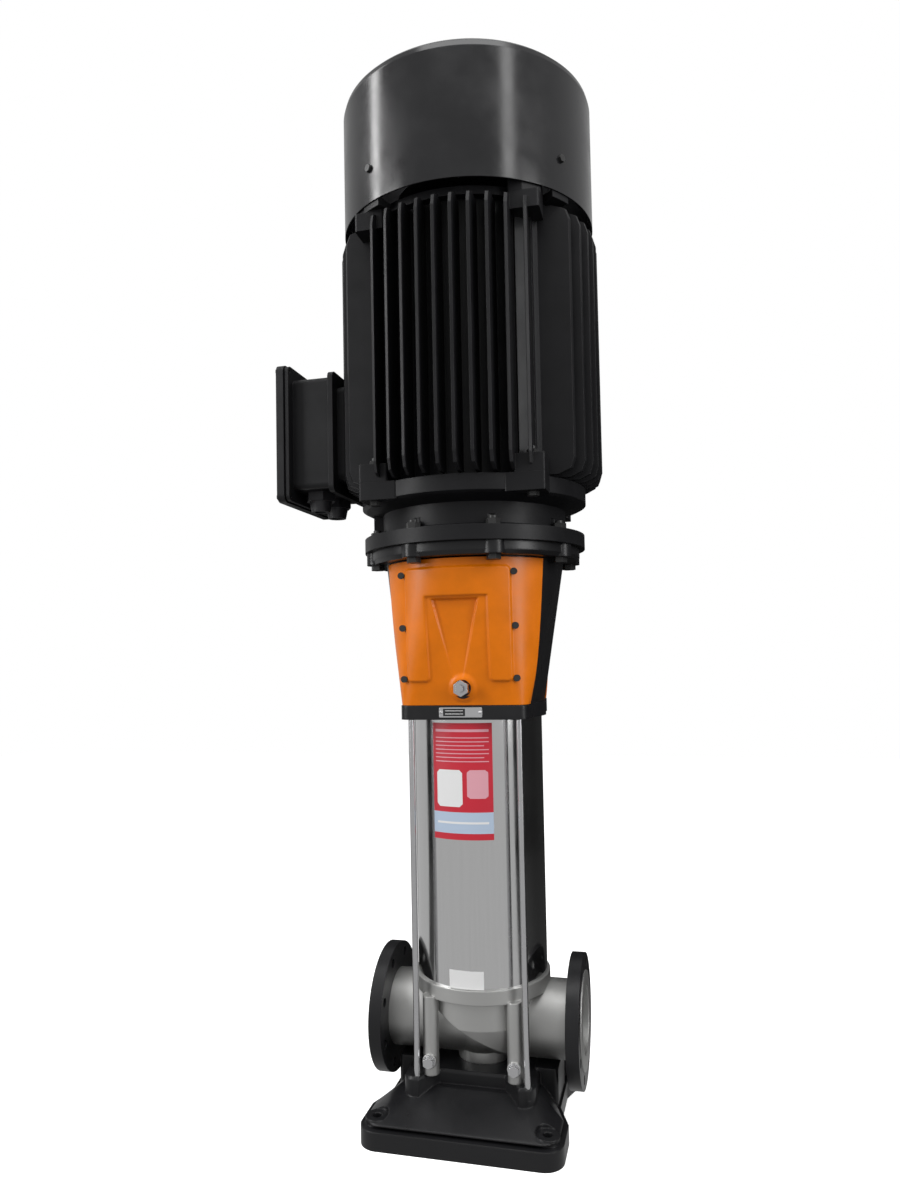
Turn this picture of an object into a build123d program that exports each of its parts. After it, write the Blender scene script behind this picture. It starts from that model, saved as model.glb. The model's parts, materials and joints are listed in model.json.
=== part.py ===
from build123d import *
from math import cos, sin, radians, sqrt
import os

os.makedirs("parts", exist_ok=True)

# Driving dimensions, all in mm, +Z up, pump axis on Z, inlet on -X, outlet on +X.

# base plate
base_shift_x = -10.0
base_half_x = 190.0
base_half_y = 212.0
base_waist_x = 168.0
base_corner_r = 38.0
base_rim_z = 40.0
base_slope_z = 74.0
platform_z = 100.0
platform_half_x = 127.0
platform_lobe_y = 131.0
platform_front_y = 87.0
foot_x = 160.0
foot_y = 172.0
foot_hole_r = 9.0
foot_pad_r = 22.0
foot_pad_z = 45.0

# inlet and outlet casting
port_z = 181.0
port_bore_r = 62.5
neck_r = 74.0
port_face_x = 205.0
lap_r = 92.0
lap_t = 8.0
bulb_r = 75.0
bulb_wall = 6.0
bowl_r = 119.0
collar_r = 135.25
collar_z0 = 248.0
collar_z1 = 271.0
leg_x = 82.0
leg_y = 105.0
leg_r = 15.0
leg_bolt_z = 128.0

# pipe flange rings, DN125 PN16 drilling
ring_r = 125.0
ring_pcd_r = 105.0
ring_hole_r = 9.0
ring_t = 25.0
ring_x1 = 203.0

# sleeve, rods and stages
sleeve_r = 129.7
sleeve_t = 3.0
sleeve_z0 = 262.0
sleeve_z1 = 790.0
rod_x = 106.0
rod_y = 120.5
rod_r = 6.0
stage_z = 240.0
stage_pitch = 150.0
stage_count = 3
chamber_r = 108.0
chamber_t = 2.5
neck_ring_r = 60.0
impeller_r = 92.0
pump_shaft_r = 16.0
running_gap = 0.05

# pump head and motor stool
head_z0 = 778.0
head_z1 = 805.0
head_round_r = 139.0
head_half_x = 125.0
head_half_y = 139.5
head_corner_r = 19.0
roof_z0 = 858.0
roof_z1 = 870.0
stool_half_x = 122.0
stool_half_y = 136.5
stool_corner_r = 22.0
stool_r1 = 181.0
stool_wall = 9.0
stool_flange_z0 = 1085.0
stool_flange_z1 = 1110.0
stool_flange_r = 214.0
window_half_x = 86.0
guard_back_y = 98.0
guard_t = 2.5
guard_z0 = 805.0
guard_z1 = 1083.0
vent_z = 838.0
vent_x = 4.0
vent_y = -146.0

# motor, flange size 400 mm bolt circle
motor_flange_r = 225.0
motor_pcd_r = 200.0
motor_bolts = 8
motor_hole_r = 9.25
spigot_r = 175.0
motor_z0 = 1110.0
motor_z1 = 1138.0
de_neck_r = 187.0
de_collar_r = 229.0
de_collar_z0 = 1196.0
frame_z0 = 1230.0
frame_z1 = 1750.0
frame_r = 204.0
frame_bore_r = 180.0
fin_tip_r = 264.0
fin_pitch = 32.3
fin_shift = 8.0
fin_t = 6.0
fins_a_side = 10
lug_x = 152.0
lug_y = 181.0
cowl_r = 257.0
cowl_t = 2.5
cowl_z0 = 1764.0
cowl_z1 = 2031.0
cowl_edge_r = 22.0
cowl_screw_z = 1830.0
cowl_screw_angle = 34.0
bearing_r = 70.0
race_r = 46.0
bearing_bore_r = 32.5
bearing_w = 33.0

# terminal box on -X
box_x0 = -363.0
box_x1 = -265.0
box_half_y = 105.0
box_z0 = 1247.0
box_z1 = 1477.0
box_wall = 6.0
lid_half_y = 130.0
lid_z0 = 1219.0
lid_z1 = 1503.0
lid_t = 16.0

done = []


def keep(shape, label):
    shape.label = label
    export_step(shape, "parts/" + label + ".step")
    done.append(label)


def polar(r, a):
    return (r * cos(radians(a)), r * sin(radians(a)))


def sector(r0, r1, a0, a1):
    """A flat ring sector face between two radii and two angles."""
    with BuildSketch() as sk:
        with BuildLine():
            outer = CenterArc((0, 0), r1, a0, a1 - a0)
            inner = CenterArc((0, 0), r0, a0, a1 - a0)
            Line(outer @ 0, inner @ 0)
            Line(outer @ 1, inner @ 1)
        make_face()
    return sk.sketch


def tube(r_out, r_in, z0, z1):
    """A plain ring standing on the pump axis."""
    with BuildPart() as p:
        with BuildSketch(Plane.XY.offset(z0)):
            Circle(r_out)
            if r_in > 0:
                Circle(r_in, mode=Mode.SUBTRACT)
        extrude(amount=z1 - z0)
    return p.part


def turned(points):
    """A solid turned about the pump axis from (radius, height) points."""
    with BuildPart() as p:
        with BuildSketch(Plane.XZ):
            with BuildLine():
                Polyline(*points, close=True)
            make_face()
        revolve(axis=Axis.Z)
    return p.part


def hex_bolt(af, head, r, length, point, direction, washer_r=0.0, washer_t=0.0):
    """Hex head outwards along direction from point, shank inwards."""
    seat = Plane(origin=point, z_dir=direction)
    with BuildPart() as p:
        with BuildSketch(seat.offset(washer_t)):
            RegularPolygon(af / 2, 6, major_radius=False)
        extrude(amount=head)
        if washer_t > 0:
            with BuildSketch(seat):
                Circle(washer_r)
            extrude(amount=washer_t)
        with BuildSketch(seat):
            Circle(r)
        extrude(amount=-length)
    return p.part


def hex_nut(af, height, r, point, direction, washer_r=0.0, washer_t=0.0):
    """Hex nut on a washer, bored to the bolt size."""
    seat = Plane(origin=point, z_dir=direction)
    with BuildPart() as p:
        with BuildSketch(seat.offset(washer_t)):
            RegularPolygon(af / 2, 6, major_radius=False)
        extrude(amount=height)
        if washer_t > 0:
            with BuildSketch(seat):
                Circle(washer_r)
            extrude(amount=washer_t)
        with BuildSketch(seat):
            Circle(r)
        extrude(amount=height + washer_t, mode=Mode.SUBTRACT)
    return p.part


def corner_points(x, y):
    """The same point in the four quarters, turned by steps of 90 degrees."""
    return [(x, -y), (-x, -y), (x, y), (-x, y)]


def lug_blocks(z0, z1, inner_x=102.0):
    """Four square bolting lugs on the motor corners."""
    with BuildPart() as p:
        for sx in (-1, 1):
            for sy in (-1, 1):
                with BuildSketch(Plane.XY.offset(z0)):
                    with Locations((sx * (inner_x + 178) / 2, sy * 175)):
                        RectangleRounded(178 - inner_x, 60, 5)
                extrude(amount=z1 - z0)
    return p.part


corner_angles = [45.0, 135.0, 225.0, 315.0]
lug_points = corner_points(lug_x, lug_y)
rod_points = [(sx * rod_x, sy * rod_y) for sx in (-1, 1) for sy in (-1, 1)]
leg_points = [(sx * leg_x, sy * leg_y) for sx in (-1, 1) for sy in (-1, 1)]
foot_points = [(base_shift_x + sx * foot_x, sy * foot_y) for sx in (-1, 1) for sy in (-1, 1)]

# ---------------------------------------------------------------- base plate


def base_outline(inset):
    with BuildSketch() as sk:
        with BuildLine():
            Polyline(
                (base_waist_x - inset, -52),
                (base_half_x - inset, -112),
                (base_half_x - inset, -base_half_y + inset),
                (-base_half_x + inset, -base_half_y + inset),
                (-base_half_x + inset, -112),
                (-base_waist_x + inset, -52),
                (-base_waist_x + inset, 52),
                (-base_half_x + inset, 112),
                (-base_half_x + inset, base_half_y - inset),
                (base_half_x - inset, base_half_y - inset),
                (base_half_x - inset, 112),
                (base_waist_x - inset, 52),
                close=True,
            )
        make_face()
        corners = sk.vertices().filter_by(lambda v: abs(v.Y) > base_half_y - inset - 1)
        fillet(corners, base_corner_r - inset * 0.6)
    return sk.sketch


with BuildPart() as platform:
    with BuildSketch() as sk_platform:
        with Locations((-7, 0)):
            Rectangle(2 * platform_half_x, 2 * platform_lobe_y)
        fillet(sk_platform.vertices(), 24)
    with BuildSketch() as sk_step:
        for side in (-1, 1):
            with BuildLine():
                Polyline(
                    (-70, side * platform_front_y),
                    (57, side * platform_front_y),
                    (92, side * (platform_lobe_y + 1)),
                    (-102, side * (platform_lobe_y + 1)),
                    close=True,
                )
            make_face()
    add(extrude(sk_platform.sketch - sk_step.sketch, platform_z - 5))
    add(extrude(Plane.XY.offset(platform_z - 5) * (sk_platform.sketch - sk_step.sketch), 5, taper=30))

with BuildPart() as base_plate:
    with BuildSketch():
        with Locations((base_shift_x, 0)):
            add(base_outline(0))
    extrude(amount=base_rim_z - 6)
    with BuildSketch(Plane.XY.offset(base_rim_z - 6)):
        with Locations((base_shift_x, 0)):
            add(base_outline(0))
    extrude(amount=6, taper=40)
    with BuildSketch(Plane.XY.offset(base_rim_z)):
        with Locations((base_shift_x, 0)):
            add(base_outline(9))
    with BuildSketch(Plane.XY.offset(base_slope_z)):
        with Locations((base_shift_x + 3, 0)):
            RectangleRounded(2 * platform_half_x + 6, 2 * platform_front_y + 30, 30)
    loft(ruled=True)
    add(platform.part)
    with BuildSketch():
        for side in (-1, 1):
            with Locations((side * 136 + base_shift_x / 2, 0)):
                RectangleRounded(46, 104, 8)
    extrude(amount=port_z - neck_r - 3)
    with BuildSketch():
        with Locations(*foot_points):
            Circle(foot_pad_r)
    extrude(amount=foot_pad_z)
    with BuildSketch(Plane.XY.offset(foot_pad_z)):
        with Locations(*foot_points):
            Circle(foot_pad_r)
    extrude(amount=40, mode=Mode.SUBTRACT)
    with BuildSketch():
        with Locations(*foot_points):
            Circle(foot_hole_r)
    extrude(amount=foot_pad_z, mode=Mode.SUBTRACT)
    with BuildSketch():
        for sx in (-1, 1):
            for sy in (-1, 1):
                with Locations((sx * 68, sy * 86)):
                    RectangleRounded(112, 148, 14)
    extrude(amount=26, mode=Mode.SUBTRACT)
    with BuildSketch(Plane.XY.offset(platform_z)):
        with Locations(*rod_points):
            Circle(rod_r)
    extrude(amount=-24, mode=Mode.SUBTRACT)
keep(base_plate.part, "base_plate")

# ------------------------------------------------- inlet and outlet casting

slope_points = [(-150, 246), (-100, 234), (108, 112), (150, 112), (150, 300), (-150, 300)]
slope_inner = [(-150, 254), (-98, 243), (100, 126), (150, 126), (150, 300), (-150, 300)]


def slope_block(points):
    with BuildPart() as p:
        with BuildSketch(Plane.XZ):
            with BuildLine():
                Polyline(*points, close=True)
            make_face()
        extrude(amount=160, both=True)
    return p.part


with BuildPart() as outlet_bowl:
    add(turned([(0, 104), (70, 104), (100, 128), (bowl_r, 190), (bowl_r, 250), (0, 250)]))
    add(slope_block(slope_points), mode=Mode.INTERSECT)

with BuildPart() as outlet_cavity:
    add(turned([(0, 112), (66, 112), (93, 133), (111, 190), (111, 242), (118, 250), (118, 280), (0, 280)]))
    add(slope_block(slope_inner), mode=Mode.INTERSECT)
    with Locations((0, 0, port_z - 6)):
        Sphere(bulb_r - 2, mode=Mode.SUBTRACT)
    add(tube(68, 0, 150, 300), mode=Mode.SUBTRACT)
    with BuildSketch(Plane.YZ.offset(83)):
        with Locations((0, port_z)):
            Circle(port_bore_r)
    extrude(amount=140)

with BuildPart() as inlet_outlet_casting:
    with Locations((0, 0, port_z - 6)):
        Sphere(bulb_r)
    add(outlet_bowl.part)
    add(tube(collar_r, 0, collar_z0, collar_z1))
    add(tube(52, 0, platform_z, 125))
    with BuildSketch(Plane.YZ.offset(-port_face_x)):
        with Locations((0, port_z)):
            Circle(neck_r)
    extrude(amount=2 * port_face_x)
    for s in (-1, 1):
        with BuildSketch(Plane.YZ.offset(s * port_face_x)):
            with Locations((0, port_z)):
                Circle(lap_r)
        extrude(amount=-s * lap_t)
    with BuildSketch(Plane.XY.offset(platform_z)):
        with Locations(*leg_points):
            Circle(leg_r)
    extrude(amount=collar_z0 - platform_z)
    for sy in (-1, 1):
        with BuildSketch(Plane.XZ.offset(-sy * (leg_y + leg_r + 1))):
            for sx in (-1, 1):
                with Locations((sx * leg_x, leg_bolt_z)):
                    Circle(13.5)
        extrude(amount=sy * leg_r)
    add(outlet_cavity.part, mode=Mode.SUBTRACT)
    with BuildSketch(Plane.YZ.offset(-port_face_x - 1)):
        with Locations((0, port_z)):
            Circle(port_bore_r)
    extrude(amount=port_face_x + 1, mode=Mode.SUBTRACT)
    with BuildSketch(Plane.YZ.offset(-113)):
        with Locations((0, port_z)):
            Circle(port_bore_r + 3.5)
    extrude(amount=93, mode=Mode.SUBTRACT)
    with BuildSketch(Plane.YZ.offset(83)):
        with Locations((0, port_z)):
            Circle(port_bore_r + 3.5)
    extrude(amount=30, mode=Mode.SUBTRACT)
    with Locations((0, 0, port_z - 6)):
        Sphere(bulb_r - bulb_wall - 3, mode=Mode.SUBTRACT)
    add(tube(58, 0, port_z, 300), mode=Mode.SUBTRACT)
    add(tube(118, 0, stage_z, 300), mode=Mode.SUBTRACT)
    add(tube(collar_r, 118, collar_z0 - 4, collar_z1))
    add(tube(sleeve_r, 121.7, sleeve_z0, collar_z1 + 1), mode=Mode.SUBTRACT)
    add(tube(121.7, 118, sleeve_z0, collar_z1))
    for sy in (-1, 1):
        with BuildSketch(Plane.XZ.offset(-sy * (leg_y + leg_r + 2))):
            for sx in (-1, 1):
                with Locations((sx * leg_x, leg_bolt_z)):
                    Circle(6)
        extrude(amount=sy * 26, mode=Mode.SUBTRACT)
keep(inlet_outlet_casting.part, "inlet_outlet_casting")

# ------------------------------------------------------- flange rings, bolts


def flange_ring(side):
    with BuildPart() as p:
        with BuildSketch(Plane.YZ.offset(side * ring_x1)):
            with Locations((0, port_z)):
                Circle(ring_r)
                Circle(neck_r, mode=Mode.SUBTRACT)
                with PolarLocations(ring_pcd_r, 8, start_angle=22.5):
                    Circle(ring_hole_r, mode=Mode.SUBTRACT)
        extrude(amount=-side * ring_t)
        with BuildSketch(Plane.YZ.offset(side * ring_x1)):
            with Locations((0, port_z)):
                Circle(lap_r)
        extrude(amount=-side * (lap_t - 2), mode=Mode.SUBTRACT)
    return p.part


keep(flange_ring(-1), "inlet_flange_ring")
keep(flange_ring(1), "outlet_flange_ring")

leg_bolt_list = []
for sx in (-1, 1):
    for sy in (-1, 1):
        seat_y = sy * (leg_y + leg_r + 1)
        leg_bolt_list.append(hex_bolt(19, 8, 6, 20, (sx * leg_x, seat_y, leg_bolt_z), (0, sy, 0), 12, 2.5))
keep(Compound(children=leg_bolt_list), "leg_bolts")

# ------------------------------------------------------- sleeve, seals, rods

sleeve_in = sleeve_r - sleeve_t
keep(tube(sleeve_r, sleeve_in, sleeve_z0, sleeve_z1), "outer_sleeve")
keep(Compound(children=[
    tube(sleeve_in, 121.7, collar_z1, collar_z1 + 5),
    tube(sleeve_in, 121.7, head_z0 - 5, head_z0),
]), "sleeve_seals")

rod_list = []
nut_list = []
for x, y in rod_points:
    rod = tube(rod_r, 0, platform_z - 24, head_z1 + 20)
    rod_list.append(Pos(x, y, 0) * rod)
    nut_list.append(hex_nut(19, 10, rod_r, (x, y, head_z1), (0, 0, 1), 12, 2.5))
keep(Compound(children=rod_list), "tie_rods")
keep(Compound(children=nut_list), "tie_rod_nuts")

# ------------------------------------------------------------- pump stages


def vanes(z0, z1, r0, r1, count, sweep, thick):
    """Curved blades swept between two radii."""
    half = 57.3 * thick / (r0 + r1)
    mid_r = (r0 + r1) / 2
    with BuildSketch() as blade:
        with BuildLine():
            near = ThreePointArc(polar(r0, -half), polar(mid_r, sweep * 0.4 - half), polar(r1, sweep - half))
            far = ThreePointArc(polar(r0, half), polar(mid_r, sweep * 0.4 + half), polar(r1, sweep + half))
            Line(near @ 0, far @ 0)
            Line(near @ 1, far @ 1)
        make_face()
    one = extrude(Plane.XY.offset(z0) * blade.sketch, z1 - z0)
    with BuildPart() as p:
        for i in range(count):
            add(Rotation(0, 0, 360 * i / count) * one)
    return p.part


def chamber(z0, z1):
    inner = chamber_r - chamber_t
    cup = turned([
        (neck_ring_r, z0), (chamber_r, z0), (chamber_r, z1), (inner, z1), (inner, z0 + 4),
        (neck_ring_r + 4, z0 + 4), (neck_ring_r + 4, z0 + 14), (neck_ring_r, z0 + 14),
    ])
    plate = turned([(22.5, z0 + 70), (95, z0 + 70), (95, z0 + 74), (30, z0 + 74), (30, z0 + 100), (22.5, z0 + 100)])
    return cup + plate + vanes(z0 + 73, z1 - 4, 29, inner + 1, 7, 48, 3)


def impeller(z0):
    front = turned([
        (56, z0 + 5), (59.5, z0 + 5), (59.5, z0 + 18), (70, z0 + 24), (impeller_r, z0 + 28),
        (impeller_r, z0 + 31), (69, z0 + 27), (56, z0 + 20),
    ])
    back = turned([
        (pump_shaft_r, z0 + 24), (24, z0 + 24), (30, z0 + 46), (60, z0 + 55), (impeller_r, z0 + 55),
        (impeller_r, z0 + 58), (24, z0 + 58), (24, z0 + 62), (pump_shaft_r, z0 + 62),
    ])
    blades = vanes(z0 + 26, z0 + 57, 27, impeller_r, 6, -62, 3) - tube(57, 0, z0 + 20, z0 + 28)
    return front + back + (blades & turned([
        (0, z0 + 22), (58, z0 + 22), (70, z0 + 25), (impeller_r, z0 + 29), (impeller_r, z0 + 57), (0, z0 + 57),
    ]))


stage_top = stage_z + stage_count * stage_pitch
for i in range(stage_count):
    z = stage_z + i * stage_pitch
    keep(chamber(z, z + stage_pitch), "stage_chamber_" + str(i + 1))
    keep(impeller(z), "impeller_" + str(i + 1))

with BuildPart() as discharge_guide:
    add(turned([
        (chamber_r, stage_top), (chamber_r, stage_top + 40), (22.5, stage_top + 40), (22.5, stage_top + 34),
        (chamber_r - 3, stage_top + 34), (chamber_r - 3, stage_top),
    ]))
    with BuildSketch(Plane.XY.offset(stage_top + 30)):
        with PolarLocations(66, 8):
            Circle(19)
    extrude(amount=14, mode=Mode.SUBTRACT)
keep(discharge_guide.part, "discharge_guide")

spacer_list = []
for i in range(stage_count - 1):
    z = stage_z + i * stage_pitch
    spacer_list.append(tube(22, pump_shaft_r, z + 62, z + stage_pitch + 24))
keep(Compound(children=spacer_list), "impeller_spacers")
top_imp = stage_z + (stage_count - 1) * stage_pitch + 62
keep(hex_nut(36, 16, pump_shaft_r, (0, 0, top_imp), (0, 0, 1)), "impeller_nut")

strap_list = []
for a in corner_angles:
    strap = extrude(Plane.XY.offset(stage_z + 2) * sector(chamber_r, chamber_r + 2, a - 6, a + 6), stage_top + 36 - stage_z)
    strap_list.append(strap)
keep(Compound(children=strap_list), "stack_straps")

with BuildPart() as lower_bearing_holder:
    add(tube(58, 53, 206, 236))
    add(tube(26, 21, 206, 236))
    with BuildSketch(Plane.XY.offset(206)):
        with PolarLocations(40, 3):
            Rectangle(30, 6)
    extrude(amount=30)
    add(tube(21, 0, 206, 236), mode=Mode.SUBTRACT)
keep(lower_bearing_holder.part, "lower_bearing_holder")
keep(tube(21, pump_shaft_r + running_gap, 206, 236), "lower_bearing_bush")

# ------------------------------------------- motor stool with the pump head


def stool_shape(grow):
    """Body between the rounded square foot and the round flange, grown outwards."""
    with BuildPart() as p:
        with BuildSketch(Plane.XY.offset(head_z1)):
            RectangleRounded(2 * (stool_half_x + grow), 2 * (stool_half_y + grow), stool_corner_r + grow)
        with BuildSketch(Plane.XY.offset(stool_flange_z0)):
            RectangleRounded(2 * (stool_r1 + grow), 2 * (stool_r1 + grow), stool_r1 + grow - 0.5)
        loft(ruled=True)
    return p.part


def slab(x0, x1, y0, y1, z0, z1):
    """A plain block between two corners."""
    with BuildPart() as p:
        with Locations(((x0 + x1) / 2, (y0 + y1) / 2, (z0 + z1) / 2)):
            Box(abs(x1 - x0), abs(y1 - y0), z1 - z0)
    return p.part


def facing(x, z, y, side):
    """A plane on the front or rear of the stool, facing outwards."""
    return Plane(origin=(x, side * y, z), z_dir=(0, side, 0))


def stool_y(z):
    """Front surface distance of the stool body at a height, near the screw rows."""
    f = (z - head_z1) / (stool_flange_z0 - head_z1)
    return stool_half_y + f * (sqrt(stool_r1 ** 2 - 112 ** 2) - stool_half_y)


screw_rows = []
for side in (-1, 1):
    for z in (856, 954, 1055):
        for x in (-112, 108):
            screw_rows.append((x * -side, z, side))

with BuildPart() as motor_stool:
    with BuildSketch(Plane.XY.offset(head_z0)):
        RectangleRounded(2 * head_half_x, 2 * head_half_y, head_corner_r)
        Circle(head_round_r)
    extrude(amount=head_z1 - head_z0)
    add(stool_shape(0))
    add(stool_shape(-stool_wall) & slab(-300, 300, -300, 300, roof_z1, 1100), mode=Mode.SUBTRACT)
    for side in (-1, 1):
        add(slab(-window_half_x, window_half_x, side * 60, side * 260, roof_z1, stool_flange_z0), mode=Mode.SUBTRACT)
    add(turned([
        (150, stool_flange_z0), (stool_flange_r - 6, stool_flange_z0), (stool_flange_r, stool_flange_z0 + 8),
        (stool_flange_r, stool_flange_z1), (150, stool_flange_z1),
    ]))
    with BuildSketch(Plane.XY.offset(stool_flange_z0)):
        with PolarLocations(motor_pcd_r, motor_bolts, start_angle=22.5):
            Circle(22)
    extrude(amount=stool_flange_z1 - stool_flange_z0)
    add(tube(spigot_r, 0, stool_flange_z1 - 5, stool_flange_z1 + 1), mode=Mode.SUBTRACT)
    add(tube(160, 0, stool_flange_z0 - 1, stool_flange_z1), mode=Mode.SUBTRACT)
    with BuildSketch(Plane.XY.offset(stool_flange_z0 - 1)):
        with PolarLocations(motor_pcd_r, motor_bolts, start_angle=22.5):
            Circle(motor_hole_r)
    extrude(amount=40, mode=Mode.SUBTRACT)
    add(turned([(0, head_z0 - 1), (118, head_z0 - 1), (118, 830), (100, roof_z0), (0, roof_z0)]), mode=Mode.SUBTRACT)
    add(tube(sleeve_r, sleeve_in, head_z0 - 1, sleeve_z1), mode=Mode.SUBTRACT)
    add(tube(45, 0, roof_z0 - 1, roof_z1 + 1), mode=Mode.SUBTRACT)
    with BuildSketch(Plane.XY.offset(head_z0 - 1)):
        with Locations(*rod_points):
            Circle(rod_r)
    extrude(amount=head_z1 - head_z0 + 2, mode=Mode.SUBTRACT)
    with BuildSketch(Plane.XY.offset(head_z1)):
        with Locations(*rod_points):
            Circle(15)
    extrude(amount=30, mode=Mode.SUBTRACT)
    with BuildSketch(facing(vent_x, vent_z, -vent_y, -1)):
        Circle(20)
    extrude(amount=-30)
    with BuildSketch(facing(vent_x, vent_z, 170, -1)):
        Circle(11)
    extrude(amount=-70, mode=Mode.SUBTRACT)
    for x, z, side in screw_rows:
        with BuildSketch(facing(x, z, 190, side)):
            Circle(3)
        extrude(amount=-76, mode=Mode.SUBTRACT)
keep(motor_stool.part, "motor_stool")

guard_shell = stool_shape(guard_t) - stool_shape(0)


def guard(side):
    """Pressed sheet guard over one window, with its raised panels and channel."""
    with BuildPart() as p:
        add(guard_shell & slab(-300, 300, side * guard_back_y, side * 300, guard_z0, guard_z1))
        raised = (stool_shape(guard_t + 4) - stool_shape(guard_t - 0.4)) & slab(-300, 300, side * 100, side * 300, 805, 1090)
        for x0, x1 in ((-99, -46), (46, 95)):
            add(raised & slab(x0 * -side, x1 * -side, side * 90, side * 210, 851, 1013))
        add(raised & slab(-99 * -side, 95 * -side, side * 90, side * 210, 1013, 1067))
        if side < 0:
            with BuildSketch(facing(vent_x, vent_z, 200, side)):
                Circle(21)
                with Locations((0, -20)):
                    Rectangle(42, 40)
            extrude(amount=-80, mode=Mode.SUBTRACT)
        for x, z, where in screw_rows:
            if where == side:
                with BuildSketch(facing(x, z, 200, side)):
                    Circle(3)
                extrude(amount=-80, mode=Mode.SUBTRACT)
    return p.part


keep(guard(-1), "coupling_guard_front")
keep(guard(1), "coupling_guard_rear")

screw_list = []
for x, z, side in screw_rows:
    y = stool_y(z) + guard_t + 1.5 + 8.5 * (z - head_z1) / (stool_flange_z0 - head_z1)
    with BuildPart() as screw:
        with BuildSketch(facing(x, z, y, side)):
            Circle(6.5)
        extrude(amount=3)
        with BuildSketch(facing(x, z, y, side)):
            Circle(3)
        extrude(amount=-26)
    screw_list.append(screw.part)
keep(Compound(children=screw_list), "guard_screws")

vent_plane = Plane(origin=(vent_x, vent_y, vent_z), z_dir=(0, -1, 0))
with BuildPart() as vent_plug:
    with BuildSketch(vent_plane):
        RegularPolygon(13.5, 6, major_radius=False)
    extrude(amount=20)
    with BuildSketch(vent_plane):
        Circle(11)
    extrude(amount=-18)
    with BuildSketch(vent_plane.offset(21)):
        Circle(5 + running_gap)
    extrude(amount=-35, mode=Mode.SUBTRACT)
keep(vent_plug.part, "vent_plug")
with BuildPart() as bleed_screw:
    with BuildSketch(vent_plane.offset(-4)):
        Circle(5)
    extrude(amount=26)
    with BuildSketch(vent_plane.offset(22)):
        RegularPolygon(6.5, 6, major_radius=False)
    extrude(amount=8)
keep(bleed_screw.part, "bleed_screw")

with BuildPart() as blank_plate:
    with BuildSketch(Plane.XZ.offset(head_half_y)):
        with Locations((-3, 792)):
            RectangleRounded(84, 19, 2)
    extrude(amount=1)
keep(blank_plate.part, "blank_plate")

# ------------------------------------------------ shaft seal and pump shaft

keep(turned([(24, 860), (45, 860), (45, roof_z1), (62, roof_z1), (62, 880), (40, 880), (34, 888), (24, 888)]), "seal_cover")
keep(tube(30, 19, 848, 860) + tube(45, 24, 856, 860), "seal_stationary_ring")
keep(tube(29, pump_shaft_r, 812, 847.7), "seal_rotating_ring")
keep(tube(pump_shaft_r, 0, 202, 986), "pump_shaft")

coupling_z0 = 902.0
coupling_z1 = 1052.0
motor_shaft_z0 = 1000.0


def coupling_half(side):
    with BuildPart() as p:
        with BuildSketch(Plane.XY.offset(coupling_z0)):
            Circle(62)
            Circle(pump_shaft_r, mode=Mode.SUBTRACT)
            with Locations((0, -side * 49)):
                Rectangle(130, 100, mode=Mode.SUBTRACT)
        extrude(amount=coupling_z1 - coupling_z0)
        with BuildSketch(Plane.XY.offset(993)):
            Circle(27.5)
        extrude(amount=70, mode=Mode.SUBTRACT)
        with BuildSketch(Plane.XZ.offset(-70)):
            for z in (926, 962, 1028):
                with Locations((-44, z), (44, z)):
                    Circle(5)
        extrude(amount=140, mode=Mode.SUBTRACT)
        with BuildSketch(Plane.XZ.offset(30)):
            for z in (926, 962, 1028):
                with Locations((-44, z), (44, z)):
                    Circle(9)
        extrude(amount=40, mode=Mode.SUBTRACT)
    return p.part


keep(coupling_half(-1), "coupling_half_front")
keep(coupling_half(1), "coupling_half_rear")
coupling_screw_list = []
for z in (926, 962, 1028):
    for x in (-44, 44):
        with BuildPart() as cap:
            with BuildSketch(Plane(origin=(x, -30, z), z_dir=(0, -1, 0))):
                Circle(8)
            extrude(amount=10)
            with BuildSketch(Plane(origin=(x, -30, z), z_dir=(0, -1, 0))):
                Circle(5)
            extrude(amount=-62)
        coupling_screw_list.append(cap.part)
keep(Compound(children=coupling_screw_list), "coupling_screws")

# --------------------------------------------------------------- the motor

bolt_list = []
motor_nut_list = []
for i in range(motor_bolts):
    bx, by = polar(motor_pcd_r, 22.5 + 45 * i)
    bolt_list.append(hex_bolt(24, 10, 8, motor_z1 - stool_flange_z0 + 18, (bx, by, stool_flange_z0), (0, 0, -1)))
    motor_nut_list.append(hex_nut(24, 13, 8, (bx, by, motor_z1), (0, 0, 1)))
keep(Compound(children=bolt_list), "flange_bolts")
keep(Compound(children=motor_nut_list), "flange_nuts")

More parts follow.
